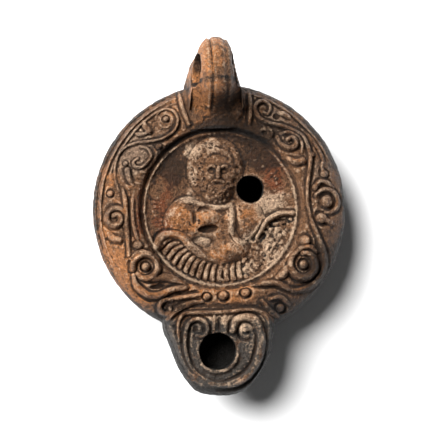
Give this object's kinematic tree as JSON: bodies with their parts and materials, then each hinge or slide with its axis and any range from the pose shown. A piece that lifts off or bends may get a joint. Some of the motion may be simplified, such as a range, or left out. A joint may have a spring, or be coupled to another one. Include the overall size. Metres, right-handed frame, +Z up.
{
  "type": "roman oil lamp",
  "caption": "Mould-made clay oil lamp: hollow round body, draped bust in a sunk discus, vine scroll shoulder, voluted nozzle with wick hole and a pierced handle.",
  "frame": {"origin": "centre of the flat foot on which the lamp stands", "axes": "+Z up out of the discus, +Y towards the handle, -Y towards the nozzle tip, +X to the right when seen from above with the handle away"},
  "size_m": [0.0834, 0.1159, 0.0442],
  "materials": {
    "fired_clay": "worn matt orange-brown clay with dark slip in the hollows and grey soot on the nozzle"
  },
  "bodies": {
    "root": {"lamp": "fired_clay"}
  },
  "joints": []
}
